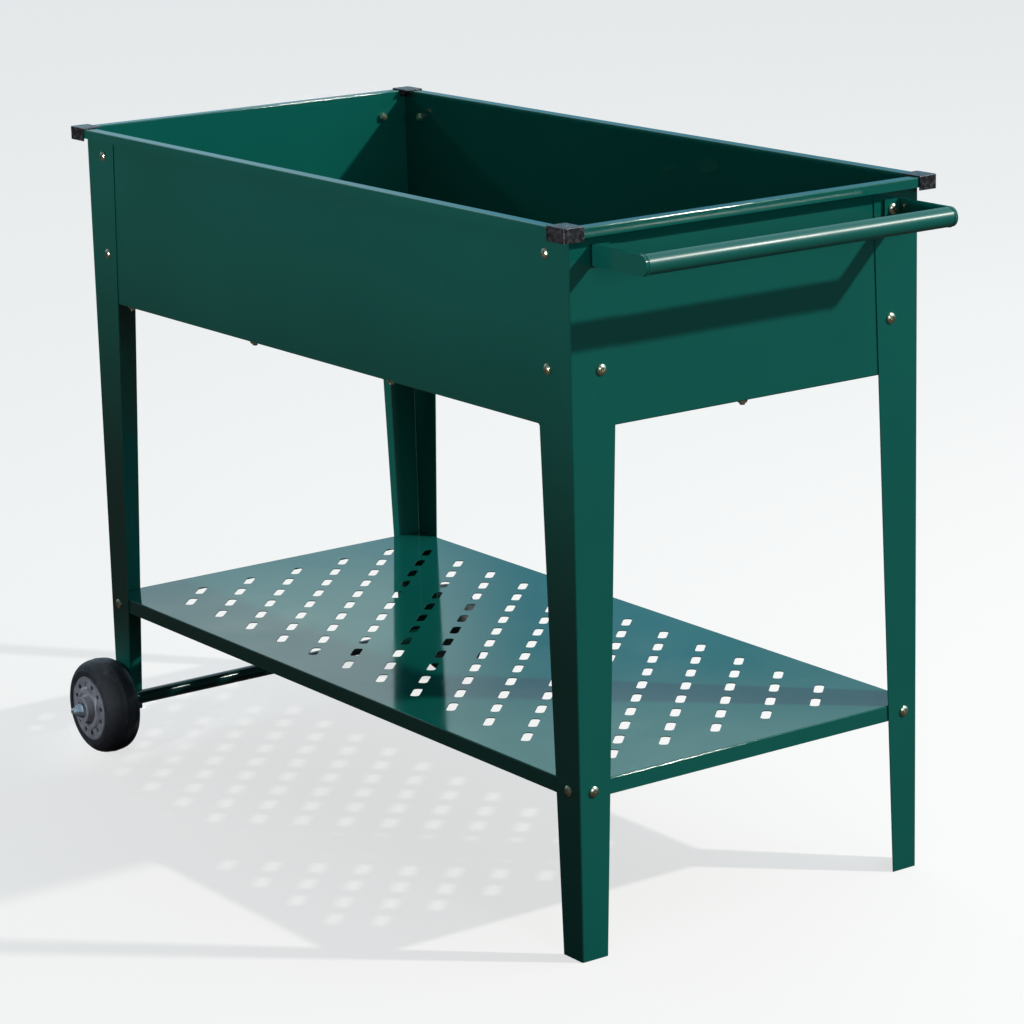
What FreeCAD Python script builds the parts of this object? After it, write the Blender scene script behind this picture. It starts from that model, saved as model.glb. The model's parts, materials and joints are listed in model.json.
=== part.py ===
import FreeCAD, Part
import math
import os

from FreeCAD import Vector

# Raised steel planter on four tapered legs, with two wheels at one end, a tube handle
# at the other and a perforated shelf between the legs.
# Units are millimetres. +X points to the handle end, +Z up, and the long sides face -Y
# (front) and +Y (back). The design coordinates below are centred between the legs;
# every shape is shifted on export so that the origin is at the bottom centre of the
# whole object's box.

# ---- driving dimensions ------------------------------------------------------------
leg_span_x = 1000.0            # outside faces of the end legs
leg_span_y = 478.0             # outside faces of the front and back legs
rim_height = 800.0             # top of the rim above the ground
box_bottom = 584.0             # underside of the planter box
shelf_top = 200.0
shelf_lip = 18.0

leg_sheet = 1.2
leg_width_top = 65.0           # each flange of the angle, at the rim
leg_width_foot = 34.0          # each flange, at the ground
leg_corner_radius = 2.2
wheel_leg_bottom = 39.0        # the wheel-end legs stop short of the ground

panel_sheet = 0.8
panel_bend = 1.4               # bend radius at the middle of the sheet
rim_reach = 13.0               # rim flange beyond the leg face
rim_lip = 11.0
floor_flange = 24.0            # inward flange that carries the floor
panel_end_gap = 0.2            # long panels end this far from the leg's bend
corner_gap = 0.4               # short panels end this far from the long ones
notch_gap = 1.0                # floor-flange notch beyond the long panel's flange
floor_gap = 1.6                # floor sheet to the panels

shelf_sheet = 1.0
shelf_gap = 0.2                # shelf lip to the leg's inner face
shelf_corner_radius = 2.5
shelf_fold_radius = 1.6
corner_relief = 2.0            # round notch where two lips meet
slot_pitch = 36.2              # grid of the shelf slots; every second point is punched
slot_columns = 25
slot_rows = 11
slot_width = 11.0
slot_length = 30.5
slot_corner = 4.5
slot_turn = 45.0               # slots lie along the diagonals of the grid

bolt_inset = 39.5              # bolt lines from the leg corner
bolt_z_upper = 768.0
bolt_z_lower = 646.0
shelf_bolt_inset = 19.0
shelf_bolt_z = 190.0
bolt_radius = 3.0
bolt_hole_radius = 3.25
head_radius = 6.0
head_height = 3.0
nut_flats = 10.0
nut_height = 5.0
thread_gap = 0.04              # nut bore over the bolt or axle
thread_tail = 2.5              # bolt end past its nut
recess_length = 4.8            # cross recess in each head
recess_width = 1.1
recess_depth = 1.5

floor_bolt_x = (-432.0, -144.0, 144.0, 432.0)
floor_bolt_edge = 13.0         # from the panel's outer face
drain_hole_radius = 4.0
drain_hole_x = (-390.0, -130.0, 130.0, 390.0)
drain_hole_y = (-120.0, 120.0)

handle_tube_radius = 11.0
handle_reach = 84.0            # tube axis from the leg face
handle_wall = 1.5
arm_sheet = 3.0
arm_outer_y = 211.0
arm_foot_width = 23.0

wheel_radius = 61.0
wheel_width = 48.0
wheel_centre_y = 268.5
axle_x = -480.0
axle_radius = 4.0
axle_running_gap = 0.06        # radial, hub bore on the axle
axle_tube_radius = 8.75
axle_hole_gap = 0.2            # legs and washers round the axle
axle_washer = 1.6              # thickness of the washers either side of each leg
inner_washer_radius = 9.5
spacer_washer_radius = 9.0
outer_washer_radius = 8.0
outer_washer = 1.5
outer_washer_gap = 0.5         # end play between the hub and its outer washer
axle_end = 316.0               # tip of the axle, from the centre plane
axle_tip_chamfer = 0.8
axle_nut_flats = 13.0
axle_nut_height = 6.0
axle_nut_collar_radius = 5.6
axle_nut_collar_height = 8.0

hub_inner_end = 241.1          # hub ends, from the centre plane
hub_boss_end = 302.0
hub_rim_radius = 41.0
hub_ring_outer = 27.4          # raised ring round the drum
hub_ring_inner = 20.0
hub_ring_height = 3.0
hub_drum_radius = 17.6
hub_socket_radius = 11.0       # shallow recess for the washer round the bore
hub_pocket_count = 12
hub_pocket_circle = 31.5
hub_pocket_radius = 3.2
hub_pocket_depth = 4.4
hub_pocket_phase = 10.0        # degrees from +X to the first pocket

tyre_ridge = 0.5               # moulding ridge round the middle of the tread
tyre_ridge_half = 0.9
tyre_bead_step = 1.0           # tyre seat is narrower than the tyre on each side
tyre_sidewall = 4.0            # straight part of the sidewall above the rim
tyre_flat_half = 8.0           # nearly flat middle of the tread

cap_size_x = 32.0
cap_size_y = 25.0
cap_height = 16.0
cap_wall = 1.5
cap_gap = 0.15
cap_corner_radius = 3.0
cap_hollow_radius = 1.5
cap_top_radius = 0.9
cap_clip_depth = 8.0           # inner clips below the rim
cap_clip_gap = 0.3

# ---- worked-out places -------------------------------------------------------------
half_x = leg_span_x / 2
half_y = leg_span_y / 2
leg_inner_x = half_x - leg_sheet
leg_inner_y = half_y - leg_sheet
rim_outer_x = half_x + rim_reach
rim_outer_y = half_y + rim_reach
leg_top = rim_height - panel_sheet - panel_bend
handle_x = half_x + handle_reach
axle_z = wheel_radius
overall_min_x = axle_x - wheel_radius
overall_max_x = handle_x + handle_tube_radius
origin_shift = Vector(-(overall_min_x + overall_max_x) / 2, 0, 0)

X_AXIS = Vector(1, 0, 0)
Y_AXIS = Vector(0, 1, 0)
Z_AXIS = Vector(0, 0, 1)
ZERO = Vector(0, 0, 0)


# ---- helpers -----------------------------------------------------------------------
def save(name, shape):
    """Write one node, moved to the part's origin."""
    moved = shape.copy()
    moved.translate(origin_shift)
    moved.exportStep("parts/" + name + ".step")


def block(x0, y0, z0, x1, y1, z1):
    """Box between two corners."""
    return Part.makeBox(x1 - x0, y1 - y0, z1 - z0, Vector(x0, y0, z0))


def rod(radius, start, end):
    """Solid cylinder from one point to another."""
    along = end - start
    return Part.makeCylinder(radius, along.Length, start, along)


def mirrored_x(shape):
    return shape.mirror(ZERO, X_AXIS)


def mirrored_y(shape):
    return shape.mirror(ZERO, Y_AXIS)


def rounded_wire(points, radii):
    """Closed wire through the points, each corner rounded by its own radius."""
    edges = []
    count = len(points)
    starts = []
    ends = []
    for i, corner in enumerate(points):
        to_last = (points[i - 1] - corner).normalize()
        to_next = (points[(i + 1) % count] - corner).normalize()
        radius = radii[i]
        if radius <= 0:
            starts.append(corner)
            ends.append(corner)
            continue
        half = to_last.getAngle(to_next) / 2
        reach = radius / math.tan(half)
        first = corner + to_last * reach
        last = corner + to_next * reach
        centre_way = (to_last + to_next).normalize()
        middle = corner + centre_way * (radius / math.sin(half) - radius)
        edges.append(Part.Arc(first, middle, last).toShape())
        starts.append(first)
        ends.append(last)
    for i in range(count):
        leave = ends[i]
        arrive = starts[(i + 1) % count]
        if (arrive - leave).Length > 1e-6:
            edges.append(Part.makeLine(leave, arrive))
    return Part.Wire(Part.__sortEdges__(edges))


def bent_strip(path, normal, thickness, bend):
    """Face of a folded sheet's section: the path is the middle of the sheet."""
    count = len(path)
    sides = {1: ([], []), -1: ([], [])}
    for i, point in enumerate(path):
        ways = []
        if i > 0:
            ways.append((path[i] - path[i - 1]).normalize())
        if i < count - 1:
            ways.append((path[i + 1] - path[i]).normalize())
        lefts = [normal.cross(way) for way in ways]
        if len(lefts) == 1:
            offset = lefts[0]
            turn = 0.0
        else:
            total = lefts[0] + lefts[1]
            offset = total * (2 / total.dot(total))
            turn = ways[0].cross(ways[1]).dot(normal)
        for side, (points, radii) in sides.items():
            points.append(point + offset * (side * thickness / 2))
            radii.append(0.0 if turn == 0 else bend - side * math.copysign(thickness / 2, turn))
    points = sides[1][0] + sides[-1][0][::-1]
    radii = sides[1][1] + sides[-1][1][::-1]
    return Part.Face(rounded_wire(points, radii))


def hexagon_prism(flats, height):
    """Hexagonal bar along +Z from the origin."""
    corner = flats / math.sqrt(3)
    points = []
    for i in range(7):
        angle = math.radians(60 * i)
        points.append(Vector(corner * math.cos(angle), corner * math.sin(angle), 0))
    return Part.Face(Part.makePolygon(points)).extrude(Z_AXIS * height)


def placed(shape, base, direction):
    """Copy of a shape built along +Z, moved to a point and turned along a direction."""
    copy = shape.copy()
    copy.Placement = FreeCAD.Placement(base, FreeCAD.Rotation(Z_AXIS, direction))
    return copy


# ---- fasteners ---------------------------------------------------------------------
def pan_head_bolt(grip):
    """Cross-recess bolt along +Z: seat at z = 0, head below it, shank above."""
    crown = Vector(0, 0, -head_height)
    rim_point = Vector(head_radius, 0, 0)
    edge_point = Vector(head_radius, 0, -head_height * 0.45)
    shoulder = Vector(head_radius * 0.72, 0, -head_height * 0.86)
    section = Part.Wire([
        Part.makeLine(ZERO, rim_point),
        Part.makeLine(rim_point, edge_point),
        Part.Arc(edge_point, shoulder, crown).toShape(),
        Part.makeLine(crown, ZERO),
    ])
    head = Part.Face(section).revolve(ZERO, Z_AXIS, 360)
    half_length = recess_length / 2
    half_width = recess_width / 2
    low = -head_height - 1
    high = -head_height + recess_depth
    head = head.cut(block(-half_length, -half_width, low, half_length, half_width, high))
    head = head.cut(block(-half_width, -half_length, low, half_width, half_length, high))
    overlap = 0.2
    shank = Part.makeCylinder(bolt_radius, grip + nut_height + thread_tail, -Z_AXIS * overlap)
    return head.fuse(shank).removeSplitter()


def hex_nut():
    """Nut along +Z from its seat, with chamfered outer corners."""
    seat_radius = nut_flats * 0.8
    top_radius = nut_flats * 0.47
    chamfer = Part.makeCone(seat_radius, top_radius, nut_height)
    nut = hexagon_prism(nut_flats, nut_height).common(chamfer)
    return nut.cut(Part.makeCylinder(bolt_radius + thread_gap, nut_height + 2, -Z_AXIS))


def fastener_groups(places, grip):
    """Bolts and nuts at (seat point, direction into the sheet) places."""
    bolt = pan_head_bolt(grip)
    nut = hex_nut()
    bolts = [placed(bolt, seat, way) for seat, way in places]
    nuts = [placed(nut, seat + way * grip, way) for seat, way in places]
    return Part.makeCompound(bolts), Part.makeCompound(nuts)


def side_bolt_places(inset, z, seat_x, seat_y):
    """Eight places: two faces at each corner, pointing inwards."""
    places = []
    for sx in (-1, 1):
        for sy in (-1, 1):
            on_side = Vector(sx * (half_x - inset), sy * seat_y, z)
            on_end = Vector(sx * seat_x, sy * (half_y - inset), z)
            places.append((on_side, Y_AXIS * -sy))
            places.append((on_end, X_AXIS * -sx))
    return places


panel_places = side_bolt_places(bolt_inset, bolt_z_lower, half_x, half_y)
upper_places = side_bolt_places(bolt_inset, bolt_z_upper, half_x, half_y)
handle_places = [place for place in upper_places if place[0].x == half_x]
panel_places += [place for place in upper_places if place[0].x != half_x]
shelf_places = side_bolt_places(shelf_bolt_inset, shelf_bolt_z, half_x, half_y)
floor_places = []
for floor_x in floor_bolt_x:
    for sy in (-1, 1):
        floor_places.append(Vector(floor_x, sy * (leg_inner_y - floor_bolt_edge), 0))
for sx in (-1, 1):
    floor_places.append(Vector(sx * (leg_inner_x - floor_bolt_edge), 0, 0))


def bolt_holes(places, radius=bolt_hole_radius, depth=12.0):
    """Cutters for holes on the given places."""
    return [rod(radius, seat - way * depth, seat + way * depth) for seat, way in places]


side_cutters = bolt_holes(panel_places + handle_places)
shelf_cutters = bolt_holes(shelf_places)


# ---- sheet parts -------------------------------------------------------------------
def long_panel():
    """Front side of the box: rim flange and lip outwards, floor flange inwards."""
    middle = leg_inner_y - panel_sheet / 2
    half_sheet = panel_sheet / 2
    length = 2 * (half_x - leg_corner_radius - panel_end_gap)
    left = -length / 2
    path = [
        Vector(left, -rim_outer_y + half_sheet, rim_height - rim_lip),
        Vector(left, -rim_outer_y + half_sheet, rim_height - half_sheet),
        Vector(left, -middle, rim_height - half_sheet),
        Vector(left, -middle, box_bottom + half_sheet),
        Vector(left, -middle + floor_flange, box_bottom + half_sheet),
    ]
    section = bent_strip(path, X_AXIS, panel_sheet, panel_bend)
    return section.extrude(X_AXIS * length)


def short_panel():
    """Handle end of the box, with the floor flange notched clear of the long sides."""
    middle = leg_inner_x - panel_sheet / 2
    half_sheet = panel_sheet / 2
    half_length = leg_inner_y - panel_sheet - corner_gap
    path = [
        Vector(rim_outer_x - half_sheet, -half_length, rim_height - rim_lip),
        Vector(rim_outer_x - half_sheet, -half_length, rim_height - half_sheet),
        Vector(middle, -half_length, rim_height - half_sheet),
        Vector(middle, -half_length, box_bottom + half_sheet),
        Vector(middle - floor_flange, -half_length, box_bottom + half_sheet),
    ]
    section = bent_strip(path, Y_AXIS, panel_sheet, panel_bend)
    panel = section.extrude(Y_AXIS * (2 * half_length))
    notch_start = half_length - floor_flange - notch_gap
    notch_top = box_bottom + panel_bend + panel_sheet + corner_gap
    notch = block(0, -half_length - 1, box_bottom - 1, half_x, -notch_start, notch_top)
    return panel.cut(notch).cut(mirrored_y(notch))


def floor_cutters():
    start = Vector(0, 0, box_bottom - 5)
    end = Vector(0, 0, box_bottom + 5)
    return [rod(bolt_hole_radius, place + start, place + end) for place in floor_places]


def floor_panel():
    """Loose floor sheet on the flanges, with drain holes."""
    inset_x = leg_inner_x - panel_sheet - floor_gap
    inset_y = leg_inner_y - panel_sheet - floor_gap
    low = box_bottom + panel_sheet
    sheet = block(-inset_x, -inset_y, low, inset_x, inset_y, low + panel_sheet)
    cutters = floor_cutters()
    for drain_x in drain_hole_x:
        for drain_y in drain_hole_y:
            base = Vector(drain_x, drain_y, low - 1)
            cutters.append(rod(drain_hole_radius, base, base + Z_AXIS * 4))
    return sheet.cut(Part.makeCompound(cutters))


def leg(bottom):
    """Angle leg at the front handle-end corner, both flanges tapering to the foot."""
    def width(z):
        return leg_width_foot + (leg_width_top - leg_width_foot) * z / rim_height

    def flange(corner, along, through):
        outline = Part.makePolygon([
            corner + Z_AXIS * bottom,
            corner + along * width(bottom) + Z_AXIS * bottom,
            corner + along * width(leg_top) + Z_AXIS * leg_top,
            corner + Z_AXIS * leg_top,
            corner + Z_AXIS * bottom,
        ])
        return Part.Face(outline).extrude(through * leg_sheet)

    corner = Vector(half_x, -half_y, 0)
    side = flange(corner, -X_AXIS, Y_AXIS)
    end = flange(corner, Y_AXIS, -X_AXIS)
    angle = side.fuse(end).removeSplitter()
    inner_radius = leg_corner_radius - leg_sheet
    for radius, x, y in (
        (leg_corner_radius, half_x, -half_y),
        (inner_radius, leg_inner_x, -leg_inner_y),
    ):
        edges = [edge for edge in angle.Edges if is_upright_at(edge, x, y)]
        angle = angle.makeFillet(radius, edges)
    return angle


def is_upright_at(edge, x, y):
    """True for a vertical edge standing at the given place."""
    box = edge.BoundBox
    slim = box.XLength < 1e-6 and box.YLength < 1e-6 and box.ZLength > 1
    return slim and abs(box.XMin - x) < 1e-6 and abs(box.YMin - y) < 1e-6


def shelf():
    """Tray turned upside down: plate with lips folded down and rows of punched holes."""
    out_x = leg_inner_x - shelf_gap
    out_y = leg_inner_y - shelf_gap
    bottom = shelf_top - shelf_lip
    tray = block(-out_x, -out_y, bottom, out_x, out_y, shelf_top)
    corners = [edge for edge in tray.Edges if edge.BoundBox.ZLength > 1]
    tray = tray.makeFillet(shelf_corner_radius, corners)
    folds = [edge for edge in tray.Edges if edge.BoundBox.ZMin > shelf_top - 1e-6]
    tray = tray.makeFillet(shelf_fold_radius, folds)
    in_x = out_x - shelf_sheet
    in_y = out_y - shelf_sheet
    tray = tray.cut(block(-in_x, -in_y, bottom - 1, in_x, in_y, shelf_top - shelf_sheet))
    cutters = list(shelf_cutters)
    for sx in (-1, 1):
        for sy in (-1, 1):
            corner = Vector(sx * out_x, sy * out_y, bottom - 1)
            cutters.append(rod(corner_relief, corner, corner + Z_AXIS * (shelf_lip - 1)))
    punch = slot_punch()
    for column in range(slot_columns):
        for row in range(slot_rows):
            if (column + row) % 2 == 1:
                slot = punch.copy()
                x = (column - (slot_columns - 1) / 2) * slot_pitch
                y = (row - (slot_rows - 1) / 2) * slot_pitch
                slot.translate(Vector(x, y, shelf_top - 3))
                cutters.append(slot)
    return tray.cut(Part.makeCompound(cutters))


def slot_punch():
    """Upright prism of one slot, long side along the grid's diagonal, from z = 0."""
    a = slot_width / 2
    b = slot_length / 2
    corners = [Vector(-a, -b, 0), Vector(a, -b, 0), Vector(a, b, 0), Vector(-a, b, 0)]
    punch = Part.Face(rounded_wire(corners, [slot_corner] * 4)).extrude(Z_AXIS * 6)
    punch.rotate(ZERO, Z_AXIS, slot_turn)
    return punch


def corner_cap():
    """Moulded cap over the rim corner at the front handle end."""
    out_x = rim_outer_x + cap_gap + cap_wall
    out_y = rim_outer_y + cap_gap + cap_wall
    top = rim_height + cap_gap + cap_wall
    bottom = top - cap_height
    body = block(out_x - cap_size_x, -out_y, bottom, out_x, -out_y + cap_size_y, top)
    outer_edges = [edge for edge in body.Edges if is_upright_at(edge, out_x, -out_y)]
    body = body.makeFillet(cap_corner_radius, outer_edges)
    top_edges = [edge for edge in body.Edges if edge.BoundBox.ZMin > top - 1e-6]
    body = body.makeFillet(cap_top_radius, top_edges)
    hollow_x = rim_outer_x + cap_gap
    hollow_y = rim_outer_y + cap_gap
    hollow = block(0, -hollow_y, 0, hollow_x, 0, rim_height + cap_gap)
    hollow_edges = [edge for edge in hollow.Edges if is_upright_at(edge, hollow_x, -hollow_y)]
    hollow = hollow.makeFillet(cap_hollow_radius, hollow_edges)
    body = body.cut(hollow)
    inner_x = leg_inner_x - panel_sheet - cap_clip_gap
    inner_y = leg_inner_y - panel_sheet - cap_clip_gap
    clip_bottom = rim_height - cap_clip_depth
    roof = rim_height + cap_gap
    low_x = out_x - cap_size_x
    low_y = -out_y + cap_size_y
    clip_a = block(inner_x - cap_wall, -inner_y, clip_bottom, inner_x, low_y, roof)
    clip_b = block(low_x, -inner_y, clip_bottom, inner_x, -inner_y + cap_wall, roof)
    return body.fuse([clip_a, clip_b]).removeSplitter()


# ---- handle ------------------------------------------------------------------------
def handle_arm():
    """Front arm: flat bar with its foot folded inwards against the leg, round at the tube."""
    radius = handle_tube_radius
    mid_y = arm_outer_y - arm_sheet / 2
    mid_x = half_x + arm_sheet / 2
    low_z = bolt_z_upper - radius
    path = [
        Vector(mid_x, -arm_outer_y + arm_foot_width, low_z),
        Vector(mid_x, -mid_y, low_z),
        Vector(handle_x + radius, -mid_y, low_z),
    ]
    bar = bent_strip(path, Z_AXIS, arm_sheet, arm_sheet).extrude(Z_AXIS * (2 * radius))
    reach = block(half_x - 1, -arm_outer_y - 1, low_z, handle_x, 0, low_z + 2 * radius)
    nose_start = Vector(handle_x, -arm_outer_y - 1, bolt_z_upper)
    nose = rod(radius, nose_start, Vector(handle_x, 0, bolt_z_upper))
    arm = bar.common(reach.fuse(nose))
    return arm.cut(Part.makeCompound(bolt_holes(handle_places)))


def handle_tube():
    inner_y = arm_outer_y - arm_sheet
    start = Vector(handle_x, -inner_y, bolt_z_upper)
    end = Vector(handle_x, inner_y, bolt_z_upper)
    return rod(handle_tube_radius, start, end).cut(rod(handle_tube_radius - handle_wall, start, end))


# ---- axle and wheels ---------------------------------------------------------------
def axle_ring(inner, outer, y0, y1):
    """Ring round the axle line, between two distances from the centre plane."""
    start = Vector(axle_x, -y0, axle_z)
    end = Vector(axle_x, -y1, axle_z)
    return rod(outer, start, end).cut(rod(inner, start, end))


def both_sides(shape):
    return Part.makeCompound([shape, mirrored_y(shape)])


def turned_profile(corners):
    """Solid of revolution round the axle line from (distance out, radius) corners."""
    points = [Vector(axle_x, -out, axle_z + radius) for out, radius in corners]
    points.append(points[0])
    face = Part.Face(Part.makePolygon(points))
    return face.revolve(Vector(axle_x, 0, axle_z), Y_AXIS, 360)


def tyre():
    """Front tyre: round shoulders, a slim ridge at the middle of the tread."""
    half = wheel_width / 2
    tread = wheel_radius - tyre_ridge

    def at(out, radius):
        return Vector(axle_x, -(wheel_centre_y + out), axle_z + radius)

    def shoulder(side):
        lower = at(side * half, hub_rim_radius + tyre_sidewall)
        middle = at(side * half * 0.825, tread - 6.0)
        upper = at(side * tyre_flat_half, tread - 0.25)
        return lower, middle, upper

    out_low, out_mid, out_up = shoulder(1)
    in_low, in_mid, in_up = shoulder(-1)
    seat_out = at(half - tyre_bead_step, hub_rim_radius)
    seat_in = at(-half + tyre_bead_step, hub_rim_radius)
    ridge = [
        at(-tyre_ridge_half, tread),
        at(-tyre_ridge_half / 2, wheel_radius),
        at(tyre_ridge_half / 2, wheel_radius),
        at(tyre_ridge_half, tread),
    ]
    edges = [
        Part.makeLine(seat_in, in_low),
        Part.Arc(in_low, in_mid, in_up).toShape(),
        Part.makeLine(in_up, ridge[0]),
        Part.makePolygon(ridge),
        Part.makeLine(ridge[-1], out_up),
        Part.Arc(out_up, out_mid, out_low).toShape(),
        Part.makeLine(out_low, seat_out),
        Part.makeLine(seat_out, seat_in),
    ]
    loose = [edge for item in edges for edge in item.Edges]
    section = Part.Face(Part.Wire(Part.__sortEdges__(loose)))
    return section.revolve(Vector(axle_x, 0, axle_z), Y_AXIS, 360)


def wheel_hub():
    """Front hub: rim band, web with a ring of pockets, raised ring, and a drum round the bore."""
    bore = axle_radius + axle_running_gap
    face = wheel_centre_y + wheel_width / 2 - 0.6
    back = wheel_centre_y - wheel_width / 2 + 1.4
    web_back = back + 8
    ring_top = face + hub_ring_height
    edge = 0.8
    hub = turned_profile([
        (hub_inner_end, bore),
        (hub_inner_end, hub_socket_radius),
        (web_back, hub_socket_radius + 1.5),
        (web_back, hub_rim_radius - 7),
        (back, hub_rim_radius - 6),
        (back, hub_rim_radius),
        (face - edge, hub_rim_radius),
        (face, hub_rim_radius - edge),
        (face, hub_ring_outer),
        (ring_top - edge, hub_ring_outer - 1.4),
        (ring_top, hub_ring_outer - 2.4),
        (ring_top, hub_ring_inner + 1.6),
        (face + edge, hub_ring_inner),
        (face + edge, hub_drum_radius),
        (hub_boss_end - edge, hub_drum_radius - 1.0),
        (hub_boss_end, hub_drum_radius - 1.8),
        (hub_boss_end, hub_socket_radius),
        (hub_boss_end - 2, hub_socket_radius - 0.5),
        (hub_boss_end - 2, 9.0),
        (hub_boss_end, 8.6),
        (hub_boss_end, bore),
    ])
    pockets = []
    for i in range(hub_pocket_count):
        angle = math.radians(hub_pocket_phase) + 2 * math.pi * i / hub_pocket_count
        x = axle_x + hub_pocket_circle * math.cos(angle)
        z = axle_z + hub_pocket_circle * math.sin(angle)
        start = Vector(x, -(face + 1), z)
        pockets.append(rod(hub_pocket_radius, start, Vector(x, -(face - hub_pocket_depth), z)))
    return hub.cut(Part.makeCompound(pockets))


def axle_rod():
    start = Vector(axle_x, -axle_end, axle_z)
    end = Vector(axle_x, axle_end, axle_z)
    bar = rod(axle_radius, start, end)
    tips = [edge for edge in bar.Edges if abs(abs(edge.BoundBox.Center.y) - axle_end) < 1e-6]
    return bar.makeChamfer(axle_tip_chamfer, tips)


def axle_nut():
    """Lock nut with its round collar, at the front end of the axle."""
    seat = hub_boss_end + outer_washer_gap + outer_washer
    chamfer = Part.makeCone(axle_nut_flats * 0.85, axle_nut_flats * 0.485, axle_nut_height)
    body = hexagon_prism(axle_nut_flats, axle_nut_height).common(chamfer)
    nut = body.fuse(Part.makeCylinder(axle_nut_collar_radius, axle_nut_collar_height))
    bore = Part.makeCylinder(axle_radius + thread_gap, axle_nut_collar_height + 2, -Z_AXIS)
    return placed(nut.cut(bore), Vector(axle_x, -seat, axle_z), -Y_AXIS)


# ---- build -------------------------------------------------------------------------
os.makedirs("parts", exist_ok=True)

side_cut = Part.makeCompound(side_cutters)
floor_cut = Part.makeCompound(floor_cutters())
front = long_panel().cut(side_cut).cut(floor_cut)
handle_side = short_panel().cut(side_cut).cut(floor_cut)
save("front_panel", front)
save("back_panel", mirrored_y(front))
save("handle_end_panel", handle_side)
save("wheel_end_panel", mirrored_x(handle_side))
save("floor_panel", floor_panel())

leg_cut = Part.makeCompound(side_cutters + shelf_cutters)
axle_cut = rod(axle_radius + axle_hole_gap, Vector(axle_x, -300, axle_z), Vector(axle_x, 300, axle_z))
long_leg = leg(0.0).cut(leg_cut)
short_leg = mirrored_x(leg(wheel_leg_bottom)).cut(leg_cut).cut(axle_cut)
save("front_handle_leg", long_leg)
save("back_handle_leg", mirrored_y(long_leg))
save("front_wheel_leg", short_leg)
save("back_wheel_leg", mirrored_y(short_leg))
save("shelf", shelf())

cap = corner_cap()
save("front_handle_cap", cap)
save("back_handle_cap", mirrored_y(cap))
save("front_wheel_cap", mirrored_x(cap))
save("back_wheel_cap", mirrored_x(mirrored_y(cap)))

arm = handle_arm()
save("front_handle_arm", arm)
save("back_handle_arm", mirrored_y(arm))
save("handle_tube", handle_tube())

save("axle_rod", axle_rod())
washer_bore = axle_radius + axle_hole_gap
tube_end = leg_inner_y - axle_washer
save("axle_tube", axle_ring(axle_radius + 0.3, axle_tube_radius, -tube_end, tube_end))
inner_washer = axle_ring(washer_bore, inner_washer_radius, tube_end, leg_inner_y)
save("axle_inner_washers", both_sides(inner_washer))
spacer = axle_ring(washer_bore, spacer_washer_radius, half_y, half_y + axle_washer)
save("wheel_spacer_washers", both_sides(spacer))
outer_start = hub_boss_end + outer_washer_gap
outer_ring = axle_ring(washer_bore, outer_washer_radius, outer_start, outer_start + outer_washer)
save("wheel_outer_washers", both_sides(outer_ring))
save("axle_nuts", both_sides(axle_nut()))

front_tyre = tyre()
front_hub = wheel_hub()
save("front_tyre", front_tyre)
save("front_hub", front_hub)
save("back_tyre", mirrored_y(front_tyre))
save("back_hub", mirrored_y(front_hub))

wall_grip = leg_sheet + panel_sheet
panel_bolts, panel_nuts = fastener_groups(panel_places, wall_grip)
save("panel_bolts", panel_bolts)
save("panel_nuts", panel_nuts)
on_arm = [(seat + X_AXIS * arm_sheet, way) for seat, way in handle_places]
handle_bolts, handle_nuts = fastener_groups(on_arm, wall_grip + arm_sheet)
save("handle_bolts", handle_bolts)
save("handle_nuts", handle_nuts)
shelf_bolts, shelf_nuts = fastener_groups(shelf_places, leg_sheet + shelf_gap + shelf_sheet)
save("shelf_bolts", shelf_bolts)
save("shelf_nuts", shelf_nuts)
floor_top = box_bottom + 2 * panel_sheet
on_floor = [(place + Z_AXIS * floor_top, -Z_AXIS) for place in floor_places]
floor_bolts, floor_nuts = fastener_groups(on_floor, 2 * panel_sheet)
save("floor_bolts", floor_bolts)
save("floor_nuts", floor_nuts)
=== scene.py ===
import json
import math

import bmesh
import bpy
from mathutils import Matrix, Vector


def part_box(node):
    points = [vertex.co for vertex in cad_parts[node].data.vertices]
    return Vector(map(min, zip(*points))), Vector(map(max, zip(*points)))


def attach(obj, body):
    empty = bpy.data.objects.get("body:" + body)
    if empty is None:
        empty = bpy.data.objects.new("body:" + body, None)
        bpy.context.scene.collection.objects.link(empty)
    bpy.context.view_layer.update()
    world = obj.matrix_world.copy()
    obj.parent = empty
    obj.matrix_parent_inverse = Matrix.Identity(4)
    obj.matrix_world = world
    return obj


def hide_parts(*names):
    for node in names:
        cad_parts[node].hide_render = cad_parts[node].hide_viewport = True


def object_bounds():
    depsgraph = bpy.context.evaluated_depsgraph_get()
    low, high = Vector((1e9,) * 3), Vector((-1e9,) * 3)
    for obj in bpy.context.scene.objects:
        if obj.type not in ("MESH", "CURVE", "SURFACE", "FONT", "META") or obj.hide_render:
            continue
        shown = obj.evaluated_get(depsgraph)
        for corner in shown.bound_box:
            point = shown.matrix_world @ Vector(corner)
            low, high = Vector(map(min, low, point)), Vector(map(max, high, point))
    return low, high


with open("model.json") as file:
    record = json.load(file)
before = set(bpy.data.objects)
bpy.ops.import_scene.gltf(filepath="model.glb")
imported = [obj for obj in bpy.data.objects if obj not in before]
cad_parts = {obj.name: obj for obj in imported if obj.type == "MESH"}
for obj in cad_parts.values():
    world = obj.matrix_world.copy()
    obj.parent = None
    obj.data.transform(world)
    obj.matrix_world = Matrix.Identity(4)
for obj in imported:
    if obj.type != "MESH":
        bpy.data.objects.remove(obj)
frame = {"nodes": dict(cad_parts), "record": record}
cad_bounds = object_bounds()
nodes = frame["nodes"]

# Lengths are metres, except where a name ends in MM or a note says mm or millimetres.
MM = 0.001

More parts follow.
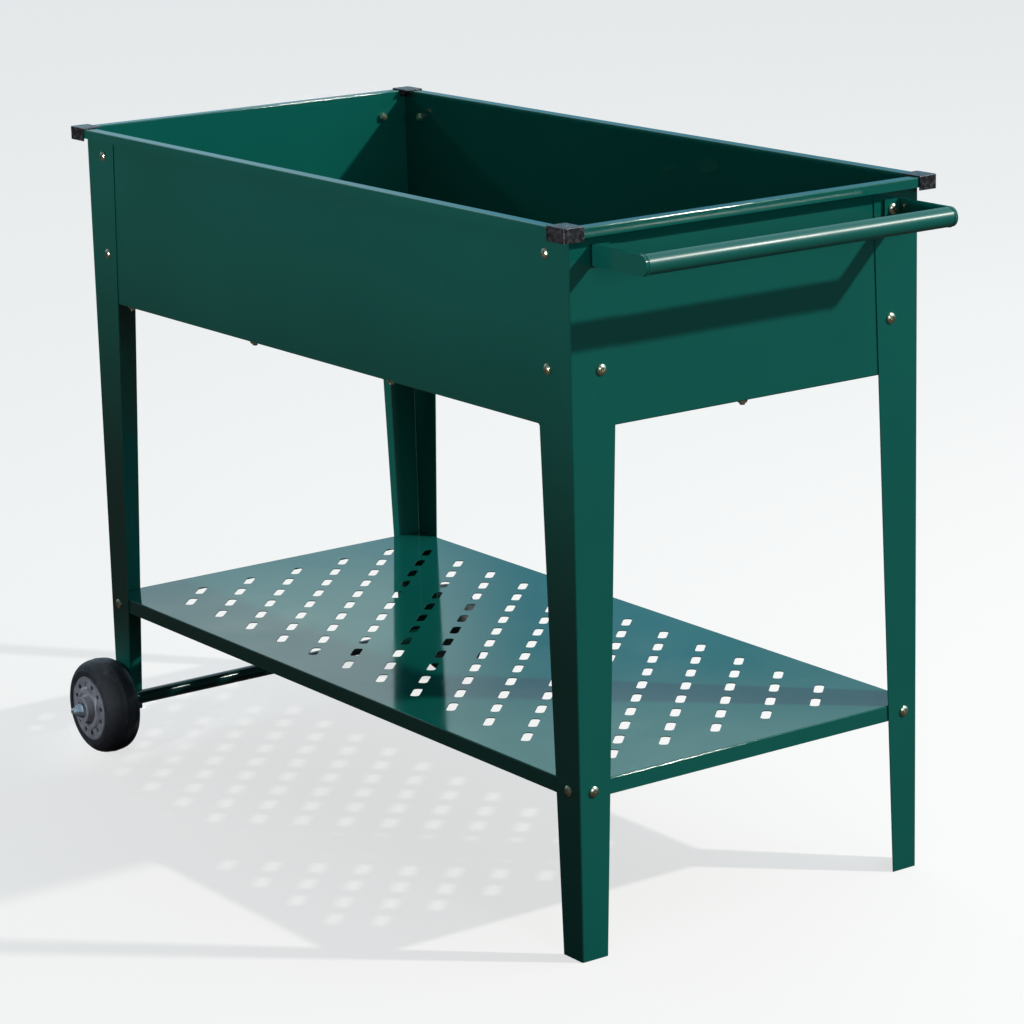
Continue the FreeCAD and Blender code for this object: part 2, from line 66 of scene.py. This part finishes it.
# ---- camera ------------------------------------------------------------------------
CAMERA_PLACE = Vector((3.3635, -2.3731, 1.4216))
CAMERA_YAW = math.radians(54.58)
CAMERA_PITCH = math.radians(-14.355)
CAMERA_ROLL = math.radians(-1.456)
CAMERA_LENS = 125.43
CAMERA_SENSOR = 36.0


def make_camera():
    data = bpy.data.cameras.new("camera")
    data.lens = CAMERA_LENS
    data.sensor_width = CAMERA_SENSOR
    data.clip_end = 100.0
    camera = bpy.data.objects.new("camera", data)
    bpy.context.scene.collection.objects.link(camera)
    turn = Matrix.Rotation(CAMERA_YAW, 4, "Z") @ Matrix.Rotation(math.pi / 2 + CAMERA_PITCH, 4, "X")
    turn = turn @ Matrix.Rotation(CAMERA_ROLL, 4, "Z")
    camera.matrix_world = Matrix.Translation(CAMERA_PLACE) @ turn
    bpy.context.scene.camera = camera


# ---- light -------------------------------------------------------------------------
FULL_SPREAD = 180.0

# name: place, target, (width, height), watts, colour, spread in degrees
LAMPS = {
    "key": ((3.9, 3.6, 4.1), (0.0, 0.0, 0.4), (0.2, 0.2), 310, (1.0, 0.97, 0.92), FULL_SPREAD),
    "front_fill": ((-0.3, -5.6, 0.80), (-0.1, -0.24, 0.80), (2.2, 0.12), 1.55, (1.0, 1.0, 1.0), 10.0),
    "end_fill": ((5.5, -0.6, 1.8), (0.5, 0.0, 0.6), (1.6, 1.2), 3.2, (0.9, 1.0, 1.0), 50.0),
    "wheel_light": ((0.45, -2.3, 1.25), (-0.507, -0.30, 0.07), (0.1, 0.1), 0.045, (0.85, 0.95, 1.0), 4.0),
}


def add_lamp(name, place, target, size, power, colour, spread):
    data = bpy.data.lights.new(name, "AREA")
    data.shape = "RECTANGLE"
    data.size = size[0]
    data.size_y = size[1]
    data.energy = power
    data.color = colour
    data.spread = math.radians(spread)
    lamp = bpy.data.objects.new(name, data)
    bpy.context.scene.collection.objects.link(lamp)
    lamp.location = place
    lamp.rotation_euler = (Vector(target) - Vector(place)).to_track_quat("-Z", "Y").to_euler()


HAZE = (0.70, 0.92, 0.95)
PALE_HAZE = (0.66, 0.88, 0.93)
TEAL = (0.48, 0.72, 0.78)
BLUE = (0.12, 0.30, 0.44)
PALE_BLUE = (0.26, 0.45, 0.56)
SKY_TOP = (0.42, 0.50, 0.62)
STUDIO_WHITE = (0.92, 0.92, 0.92)

# (height above the horizon, colour) of the sky's hazy half and of its blue half
HAZY_SKY = ((0.0, PALE_BLUE), (0.258, PALE_BLUE), (0.272, HAZE), (0.31, PALE_HAZE), (1.0, SKY_TOP))
BLUE_SKY = ((0.0, BLUE), (0.294, BLUE), (0.306, TEAL), (1.0, SKY_TOP))
ACROSS = (0.58, 0.815, 0.0)    # horizontal direction from the hazy half to the blue half
BLUE_SHIFT = (-0.045, 0.01)    # where the one half turns into the other
LEAN = -0.45                   # the bright side of the sky turns this much from +Y to -X
BRIGHT_SHIFT = (-0.35, 0.65)   # from the dark side of the sky to the bright one
BRIGHTNESS = (0.16, 1.25)
CLOUD_SCALE = 9.0
CLOUD_RANGE = (0.3, 0.7)
CLOUD_LEVEL = (0.84, 1.18)


def map_range(tree, value, source, target, kind="LINEAR"):
    """Map a value from one (low, high) range to another, clamped."""
    node = tree.nodes.new("ShaderNodeMapRange")
    node.interpolation_type = kind
    node.inputs["From Min"].default_value = source[0]
    node.inputs["From Max"].default_value = source[1]
    node.inputs["To Min"].default_value = target[0]
    node.inputs["To Max"].default_value = target[1]
    tree.links.new(value, node.inputs["Value"])
    return node.outputs["Result"]


def sky_ramp(tree, height, stops):
    """Colour of the sky by height above the horizon."""
    ramp = tree.nodes.new("ShaderNodeValToRGB")
    elements = ramp.color_ramp.elements
    while len(elements) < len(stops):
        elements.new(0.5)
    for element, (position, colour) in zip(elements, stops):
        element.position = position
        element.color = (*colour, 1)
    tree.links.new(height, ramp.inputs["Fac"])
    return ramp.outputs["Color"]


def sky_colour(tree, direction, height):
    """Hazy half and blue half, side by side."""
    across = tree.nodes.new("ShaderNodeVectorMath")
    across.operation = "DOT_PRODUCT"
    across.inputs[1].default_value = ACROSS
    tree.links.new(direction, across.inputs[0])
    blend = tree.nodes.new("ShaderNodeMix")
    blend.data_type = "RGBA"
    to_blue = map_range(tree, across.outputs["Value"], BLUE_SHIFT, (0.0, 1.0), "SMOOTHSTEP")
    tree.links.new(to_blue, blend.inputs["Factor"])
    tree.links.new(sky_ramp(tree, height, HAZY_SKY), blend.inputs["A"])
    tree.links.new(sky_ramp(tree, height, BLUE_SKY), blend.inputs["B"])
    return blend.outputs["Result"]


def sky_strength(tree, direction, split):
    """Faint clouds times the fall from the bright side to the dark one."""
    lean = tree.nodes.new("ShaderNodeMath")
    lean.operation = "MULTIPLY_ADD"
    lean.inputs[1].default_value = LEAN
    tree.links.new(split.outputs["X"], lean.inputs[0])
    tree.links.new(split.outputs["Y"], lean.inputs[2])
    cloud = tree.nodes.new("ShaderNodeTexNoise")
    cloud.inputs["Scale"].default_value = CLOUD_SCALE
    cloud.inputs["Detail"].default_value = 3.0
    tree.links.new(direction, cloud.inputs["Vector"])
    level = tree.nodes.new("ShaderNodeMath")
    level.operation = "MULTIPLY"
    clouds = map_range(tree, cloud.outputs["Fac"], CLOUD_RANGE, CLOUD_LEVEL)
    side = map_range(tree, lean.outputs[0], BRIGHT_SHIFT, BRIGHTNESS, "SMOOTHSTEP")
    tree.links.new(clouds, level.inputs[0])
    tree.links.new(side, level.inputs[1])
    return level.outputs[0]


def make_world():
    """Plain white behind the planter; a soft sky for its light and reflections."""
    world = bpy.data.worlds.new("studio")
    world.use_nodes = True
    bpy.context.scene.world = world
    tree = world.node_tree
    tree.nodes.clear()
    direction = tree.nodes.new("ShaderNodeTexCoord").outputs["Generated"]
    split = tree.nodes.new("ShaderNodeSeparateXYZ")
    tree.links.new(direction, split.inputs[0])
    sky = tree.nodes.new("ShaderNodeBackground")
    tree.links.new(sky_colour(tree, direction, split.outputs["Z"]), sky.inputs["Color"])
    tree.links.new(sky_strength(tree, direction, split), sky.inputs["Strength"])
    plain = tree.nodes.new("ShaderNodeBackground")
    plain.inputs["Color"].default_value = (*STUDIO_WHITE, 1)
    path = tree.nodes.new("ShaderNodeLightPath")
    mix = tree.nodes.new("ShaderNodeMixShader")
    tree.links.new(path.outputs["Is Camera Ray"], mix.inputs["Fac"])
    tree.links.new(sky.outputs[0], mix.inputs[1])
    tree.links.new(plain.outputs[0], mix.inputs[2])
    out = tree.nodes.new("ShaderNodeOutputWorld")
    tree.links.new(mix.outputs[0], out.inputs["Surface"])


# ---- floor -------------------------------------------------------------------------
GROUND_SIZE = 60
FLOOR_COLOUR = (0.35, 0.34, 0.325)
FLOOR_GLOW = 0.67
MIRRORED_COLOUR = (0.30, 0.18, 0.13)
MIRRORED_LEVEL = -0.002


def make_ground(name, level, colour, seen, glow=0.0):
    """Big plane: either the floor that is seen, or the darker ground that gloss mirrors."""
    bpy.ops.mesh.primitive_plane_add(size=GROUND_SIZE, location=(0, 0, level))
    plane = bpy.context.active_object
    plane.name = name
    material = bpy.data.materials.new(name)
    material.use_nodes = True
    shader = material.node_tree.nodes["Principled BSDF"]
    shader.inputs["Base Color"].default_value = (*colour, 1)
    shader.inputs["Roughness"].default_value = 0.9
    shader.inputs["Specular IOR Level"].default_value = 0.0
    shader.inputs["Emission Color"].default_value = (1, 1, 1, 1)
    shader.inputs["Emission Strength"].default_value = glow
    plane.data.materials.append(material)
    plane.visible_camera = seen
    plane.visible_diffuse = not seen
    plane.visible_glossy = not seen
    plane.visible_transmission = not seen


# ---- finishes ----------------------------------------------------------------------
class Finish:
    """A Principled material with helpers for noise fixed to the object."""

    def __init__(self, name, colour, roughness, metallic=0.0):
        self.material = bpy.data.materials.new(name)
        self.material.use_nodes = True
        self.tree = self.material.node_tree
        self.shader = self.tree.nodes["Principled BSDF"]
        self.shader.inputs["Base Color"].default_value = (*colour, 1)
        self.shader.inputs["Roughness"].default_value = roughness
        self.shader.inputs["Metallic"].default_value = metallic
        self.place = self.tree.nodes.new("ShaderNodeTexCoord").outputs["Object"]

    def noise(self, scale, detail=2.0, roughness=0.5):
        node = self.tree.nodes.new("ShaderNodeTexNoise")
        node.inputs["Scale"].default_value = scale
        node.inputs["Detail"].default_value = detail
        node.inputs["Roughness"].default_value = roughness
        self.tree.links.new(self.place, node.inputs["Vector"])
        return node.outputs["Fac"]

    def span(self, value, low, high, start=0.0, end=1.0):
        """Map a value from low..high to start..end, clamped."""
        return map_range(self.tree, value, (low, high), (start, end))

    def tint(self, factor, first, second):
        """Mix node between two colours."""
        node = self.tree.nodes.new("ShaderNodeMix")
        node.data_type = "RGBA"
        node.inputs["A"].default_value = (*first, 1)
        node.inputs["B"].default_value = (*second, 1)
        self.tree.links.new(factor, node.inputs["Factor"])
        return node

    def paint(self, mix):
        self.tree.links.new(mix.outputs["Result"], self.shader.inputs["Base Color"])

    def rough(self, value):
        self.tree.links.new(value, self.shader.inputs["Roughness"])

    def bump(self, *layers):
        """Chain of (height, distance in metres) bumps."""
        normal = None
        for height, distance in layers:
            node = self.tree.nodes.new("ShaderNodeBump")
            node.inputs["Distance"].default_value = distance
            node.inputs["Strength"].default_value = 1.0
            self.tree.links.new(height, node.inputs["Height"])
            if normal:
                self.tree.links.new(normal, node.inputs["Normal"])
            normal = node.outputs["Normal"]
        self.tree.links.new(normal, self.shader.inputs["Normal"])


DEEP_GREEN = (0.0045, 0.116, 0.094)
LIGHT_GREEN = (0.0055, 0.130, 0.105)
DUST = (0.16, 0.20, 0.18)
SHEET_WAVE = 0.00022           # slow waves of thin sheet
TUBE_WAVE = 0.00004            # a tube is much straighter
ORANGE_PEEL = 0.000008


def green_powder_coat(name="green_powder_coat", shade=1.0, gloss=(0.045, 0.10), wave=SHEET_WAVE):
    """Gloss powder coat: faint orange peel, slow waves, a little dust."""
    deep = tuple(channel * shade for channel in DEEP_GREEN)
    light = tuple(channel * shade for channel in LIGHT_GREEN)
    finish = Finish(name, deep, gloss[0])
    tone = finish.tint(finish.span(finish.noise(3.0, 3.0), 0.35, 0.65), deep, light)
    specks = finish.span(finish.noise(60.0, 6.0, 0.7), 0.66, 0.80, 0.0, 0.10)
    dusty = finish.tint(specks, deep, DUST)
    finish.tree.links.new(tone.outputs["Result"], dusty.inputs["A"])
    finish.paint(dusty)
    finish.rough(finish.span(finish.noise(9.0, 4.0, 0.6), 0.3, 0.7, *gloss))
    finish.bump((finish.noise(4.0, 0.0), wave), (finish.noise(520.0, 1.0), ORANGE_PEEL))
    finish.shader.inputs["IOR"].default_value = 1.5
    return finish.material


def black_plastic():
    """Moulded caps with a grained, scuffed face."""
    finish = Finish("black_plastic", (0.014, 0.012, 0.016), 0.3)
    scuff = finish.span(finish.noise(170.0, 5.0, 0.7), 0.48, 0.66, 0.0, 0.8)
    finish.paint(finish.tint(scuff, (0.012, 0.010, 0.014), (0.11, 0.115, 0.13)))
    finish.rough(finish.span(finish.noise(90.0, 3.0), 0.35, 0.7, 0.22, 0.48))
    finish.bump((finish.noise(900.0, 2.0), 0.00004), (finish.noise(70.0, 1.0), 0.0003))
    return finish.material


def zinc_steel(name="zinc_steel", bright=(0.85, 0.87, 0.72), dull=(0.64, 0.64, 0.38), gloss=(0.18, 0.38)):
    """Passivated zinc, cloudy between a bright and a dull tone."""
    finish = Finish(name, bright, gloss[0], 1.0)
    tone = finish.span(finish.noise(160.0, 4.0, 0.6), 0.35, 0.7)
    finish.paint(finish.tint(tone, bright, dull))
    finish.rough(finish.span(finish.noise(420.0, 3.0), 0.3, 0.7, *gloss))
    finish.bump((finish.noise(1500.0, 2.0), 0.00002))
    return finish.material


def tyre_rubber():
    """Dark rubber with dust in its grain."""
    finish = Finish("tyre_rubber", (0.016, 0.016, 0.020), 0.5)
    dust = finish.span(finish.noise(45.0, 8.0, 0.75), 0.56, 0.70, 0.0, 0.8)
    finish.paint(finish.tint(dust, (0.012, 0.013, 0.018), (0.10, 0.10, 0.11)))
    finish.rough(finish.span(finish.noise(120.0, 3.0), 0.3, 0.7, 0.42, 0.66))
    finish.bump((finish.noise(700.0, 3.0, 0.6), 0.00008), (finish.noise(60.0, 2.0), 0.0003))
    return finish.material


def grey_plastic():
    """Moulded hubs, slightly cloudy."""
    finish = Finish("grey_plastic", (0.15, 0.145, 0.17), 0.42)
    tone = finish.span(finish.noise(80.0, 5.0, 0.6), 0.35, 0.7)
    finish.paint(finish.tint(tone, (0.115, 0.112, 0.135), (0.20, 0.195, 0.22)))
    finish.rough(finish.span(finish.noise(100.0, 2.0), 0.3, 0.7, 0.36, 0.55))
    finish.bump((finish.noise(800.0, 2.0), 0.00005))
    return finish.material


def give_finish(node, material):
    for slot in nodes[node].material_slots:
        slot.material = material


def finish_nodes(materials):
    """Give every carried-over node the finish of its record slot."""
    for part in frame["record"]["subparts"]:
        give_finish(part["node"], materials[part["material_slot"]])


# ---- mesh helpers ------------------------------------------------------------------
def add_piece(name, points, faces, body, slot):
    """Smooth mesh piece in the frame that rides on a body and takes a slot's finish."""
    mesh = bpy.data.meshes.new(name)
    mesh.from_pydata([tuple(point) for point in points], [], faces)
    mesh.validate()
    mesh.update()
    for face in mesh.polygons:
        face.use_smooth = True
    piece = bpy.data.objects.new(name, mesh)
    bpy.context.scene.collection.objects.link(piece)
    mesh.materials.append(finishes[slot])
    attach(piece, body)
    return piece


def smooth_by_angle(piece, degrees):
    """Sharp edges above an angle, smooth shading below it."""
    bm = bmesh.new()
    bm.from_mesh(piece.data)
    bmesh.ops.recalc_face_normals(bm, faces=bm.faces)
    for edge in bm.edges:
        edge.smooth = edge.is_manifold and edge.calc_face_angle(0) < math.radians(degrees)
    bm.to_mesh(piece.data)
    bm.free()


def ring_of(profile, place, steps, wobble):
    """Points and faces of a closed profile of (out, radius) turned about a Y line."""
    points = []
    faces = []
    count = len(profile)
    for i in range(steps):
        angle = 2 * math.pi * i / steps
        for j, (out, radius) in enumerate(profile):
            reach = radius + wobble(j, angle)
            x = place[0] + reach * math.cos(angle)
            z = place[2] + reach * math.sin(angle)
            points.append((x, place[1] + out, z))
    for i in range(steps):
        for j in range(count):
            a = i * count + j
            b = i * count + (j + 1) % count
            c = (i + 1) % steps * count + (j + 1) % count
            d = (i + 1) % steps * count + j
            faces.append((a, b, c, d))
    return points, faces


def merged(shapes):
    """One list of points and faces out of several."""
    points = []
    faces = []
    for some_points, some_faces in shapes:
        start = len(points)
        points.extend(some_points)
        faces.extend([tuple(start + i for i in face) for face in some_faces])
    return points, faces


# ---- tyres -------------------------------------------------------------------------
TYRE_SEAT_MM = 41.0            # radius of the hub's rim
TYRE_RIDGE_MM = 0.5            # moulding ridge round the middle of the tread
TYRE_STEPS = 192
TYRE_SHARP_ANGLE = 32

# (share of the half width, mm above the seat), from the bead over the ribs to the shoulder
SIDEWALL = (
    (0.955, 0.0), (0.985, 1.2), (0.998, 3.2), (1.0, 5.0), (0.990, 6.4), (0.997, 6.9), (0.992, 7.5),
    (0.972, 8.0), (0.930, 10.2), (0.870, 12.6), (0.780, 14.8), (0.670, 16.7), (0.540, 18.1), (0.390, 19.0),
)
# (share of the half width, mm above the tread), up to the moulding ridge
TREAD = ((0.240, -0.12), (0.060, 0.0), (0.036, 0.36))

WEAR_UNIT = 0.00006
WEAR_START_MM = 1.0            # no wear below this height over the seat
WEAR_FULL_MM = 6.0             # full wear from this depth under the tyre's largest radius


def tyre_profile(half, tread):
    """Closed section of a slick tyre, from sizes in millimetres."""
    outer = [(out * half, TYRE_SEAT_MM + rise) for out, rise in SIDEWALL]
    outer += [(out * half, tread + rise) for out, rise in TREAD]
    ridge = [(0.0, tread + TYRE_RIDGE_MM)]
    whole = [(-out, radius) for out, radius in outer] + ridge + outer[::-1]
    return [(out * MM, radius * MM) for out, radius in whole]


def add_tyre(side):
    """Rubber tyre in place of the plain CAD ring, with mould marks and a slightly worn tread."""
    node = side + "_tyre"
    low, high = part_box(node)
    half = (high.y - low.y) / 2 / MM
    radius = (high.z - low.z) / 2 / MM
    profile = tyre_profile(half, radius - TYRE_RIDGE_MM)
    crown = (radius - WEAR_FULL_MM) * MM
    bed = (TYRE_SEAT_MM + WEAR_START_MM) * MM

    def wear(j, angle):
        reach = profile[j][1]
        if reach < bed:
            return 0.0
        share = min(1.0, max(0.0, (reach - bed) / (crown - bed)))
        waves = math.sin(3 * angle + 0.7) + 0.6 * math.sin(7 * angle + j) + 0.4 * math.sin(13 * angle - j)
        return -WEAR_UNIT * share * (1.6 + waves)

    points, faces = ring_of(profile, (low + high) / 2, TYRE_STEPS, wear)
    piece = add_piece(side + "_tyre_skin", points, faces, side + "_wheel", "tyre_rubber")
    smooth_by_angle(piece, TYRE_SHARP_ANGLE)
    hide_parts(node)


# ---- screw threads -----------------------------------------------------------------
THREAD_STEPS = 20              # points to a turn
THREAD_FLANK = 0.36            # half width of the ridge, as a share of the pitch
THREAD_DIP = 0.00005           # the ridge's foot lies this deep in the rod
THREAD_FADE = 6                # steps over which a thread runs out

BOLT_RADIUS = 0.003
BOLT_THREAD = (0.0022, 0.0010, 0.00022)     # length, pitch, depth
BOLT_POINT = 0.0005            # bare tip of a bolt
AXLE_THREAD = (0.0030, 0.00125, 0.00028)
AXLE_POINT = 0.0010


def helix(tip, way, radius, thread):
    """Ridge of a screw thread that runs back from a tip along a rod."""
    length, pitch, depth = thread
    side = way.orthogonal().normalized()
    up = way.cross(side)
    total = int(THREAD_STEPS * length / pitch)
    half = pitch * THREAD_FLANK
    points = []
    faces = []
    for i in range(total + 1):
        turn = 2 * math.pi * i / THREAD_STEPS
        fade = min(1.0, i / THREAD_FADE, (total - i) / THREAD_FADE)
        out = side * math.cos(turn) + up * math.sin(turn)
        base = tip - way * (length * i / total)
        points.append(base + out * (radius - THREAD_DIP) + way * half)
        points.append(base + out * (radius + depth * fade))
        points.append(base + out * (radius - THREAD_DIP) - way * half)
    for i in range(total):
        a = 3 * i
        faces.append((a, a + 1, a + 4, a + 3))
        faces.append((a + 1, a + 2, a + 5, a + 4))
        faces.append((a + 2, a, a + 3, a + 5))
    faces.append((0, 2, 1))
    faces.append((3 * total, 3 * total + 1, 3 * total + 2))
    return points, faces


def islands(node):
    """Boxes of the separate solids of a node, as (low, high) corners."""
    bm = bmesh.new()
    bm.from_mesh(nodes[node].data)
    bmesh.ops.remove_doubles(bm, verts=bm.verts, dist=1e-6)
    seen = set()
    found = []
    for first in bm.verts:
        if first in seen:
            continue
        stack = [first]
        seen.add(first)
        low = first.co.copy()
        high = first.co.copy()
        while stack:
            vert = stack.pop()
            low = Vector(map(min, low, vert.co))
            high = Vector(map(max, high, vert.co))
            for edge in vert.link_edges:
                other = edge.other_vert(vert)
                if other not in seen:
                    seen.add(other)
                    stack.append(other)
        found.append((low, high))
    bm.free()
    return found


def inwards(centre, size):
    """Side bolts point to the middle of the planter along their own length."""
    if size.x > size.y:
        return Vector((-math.copysign(1, centre.x - middle.x), 0, 0))
    return Vector((0, -math.copysign(1, centre.y), 0))


def downwards(centre, size):
    return Vector((0, 0, -1))


def add_bolt_threads(node, outwards):
    """Threads on the bare ends of a group of bolts; outwards points along their tails."""
    shapes = []
    for low, high in islands(node):
        centre = (low + high) / 2
        way = outwards(centre, high - low)
        reach = abs((high - low).dot(way)) / 2
        tip = centre + way * (reach - BOLT_POINT)
        shapes.append(helix(tip, way, BOLT_RADIUS, BOLT_THREAD))
    points, faces = merged(shapes)
    add_piece(node + "_threads", points, faces, "planter", "zinc_steel")


def add_axle_threads(material):
    low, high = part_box("axle_rod")
    centre = (low + high) / 2
    radius = (high.z - low.z) / 2
    shapes = []
    for side in (-1, 1):
        way = Vector((0, side, 0))
        tip = Vector((centre.x, side * (high.y - AXLE_POINT), centre.z))
        shapes.append(helix(tip, way, radius, AXLE_THREAD))
    points, faces = merged(shapes)
    piece = add_piece("axle_threads", points, faces, "planter", "zinc_steel")
    piece.data.materials[0] = material


# ---- welds -------------------------------------------------------------------------
BEAD_STEPS = 220
BEAD_POINTS = 9
BEAD_WIDTH = 0.00176
BEAD_HEIGHT = 0.0006
BEAD_ROOT = (0.0009, 0.0004)   # along and into the tube
BEAD_RIPPLES = 44
RIPPLE_HEIGHT = 0.00012


def add_weld_bead(name, side):
    """Rippled weld round the handle tube where it meets an arm."""
    low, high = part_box("handle_tube")
    centre = Vector(((low.x + high.x) / 2, low.y if side < 0 else high.y, (low.z + high.z) / 2))
    radius = (high.z - low.z) / 2
    profile = []
    for k in range(BEAD_POINTS):
        angle = math.pi * k / (BEAD_POINTS - 1)
        out = -side * BEAD_WIDTH * (1 - math.cos(angle)) / 2
        profile.append((out, radius + BEAD_HEIGHT * math.sin(angle)))
    profile.append((-side * BEAD_ROOT[0], radius - BEAD_ROOT[1]))

    def ripple(j, angle):
        if j in (0, BEAD_POINTS - 1, BEAD_POINTS):
            return 0.0
        return RIPPLE_HEIGHT * (math.sin(angle * BEAD_RIPPLES) + 0.5 * math.sin(angle * 7 + 1.0))

    points, faces = ring_of(profile, centre, BEAD_STEPS, ripple)
    add_piece(name, points, faces, "planter", "green_powder_coat")


# ---- build -------------------------------------------------------------------------
AXLE_HARDWARE = ("axle_rod", "wheel_spacer_washers", "wheel_outer_washers", "axle_nuts")

bpy.context.scene.view_settings.view_transform = "Standard"
make_camera()
for lamp_name, settings in LAMPS.items():
    add_lamp(lamp_name, *settings)
make_world()
make_ground("floor", 0.0, FLOOR_COLOUR, True, FLOOR_GLOW)
make_ground("mirrored_ground", MIRRORED_LEVEL, MIRRORED_COLOUR, False)

finishes = {
    "green_powder_coat": green_powder_coat(),
    "black_plastic": black_plastic(),
    "zinc_steel": zinc_steel(),
    "tyre_rubber": tyre_rubber(),
    "grey_plastic": grey_plastic(),
}
# A brighter, bluer copy of the zinc for the axle rod, washers and nuts: painted reflection of a bright sky
# on the same zinc as the bolts.
painted_reflection_zinc = zinc_steel("painted_reflection_zinc", (0.82, 0.92, 1.0), (0.62, 0.74, 0.86), (0.28, 0.45))
finish_nodes(finishes)
give_finish("handle_tube", green_powder_coat("green_tube_coat", 1.0, (0.31, 0.39), TUBE_WAVE))
# The axle tube takes a copy of the green coat at a third of its brightness: painted shade under the shelf,
# not a different paint.
give_finish("axle_tube", green_powder_coat("painted_shade_tube_coat", 0.35, (0.12, 0.2), TUBE_WAVE))
for hardware in AXLE_HARDWARE:
    give_finish(hardware, painted_reflection_zinc)

middle = (cad_bounds[0] + cad_bounds[1]) / 2
for wheel in ("front", "back"):
    add_tyre(wheel)
add_axle_threads(painted_reflection_zinc)
for group in ("panel_bolts", "handle_bolts", "shelf_bolts"):
    add_bolt_threads(group, inwards)
add_bolt_threads("floor_bolts", downwards)
add_weld_bead("front_weld", -1)
add_weld_bead("back_weld", 1)
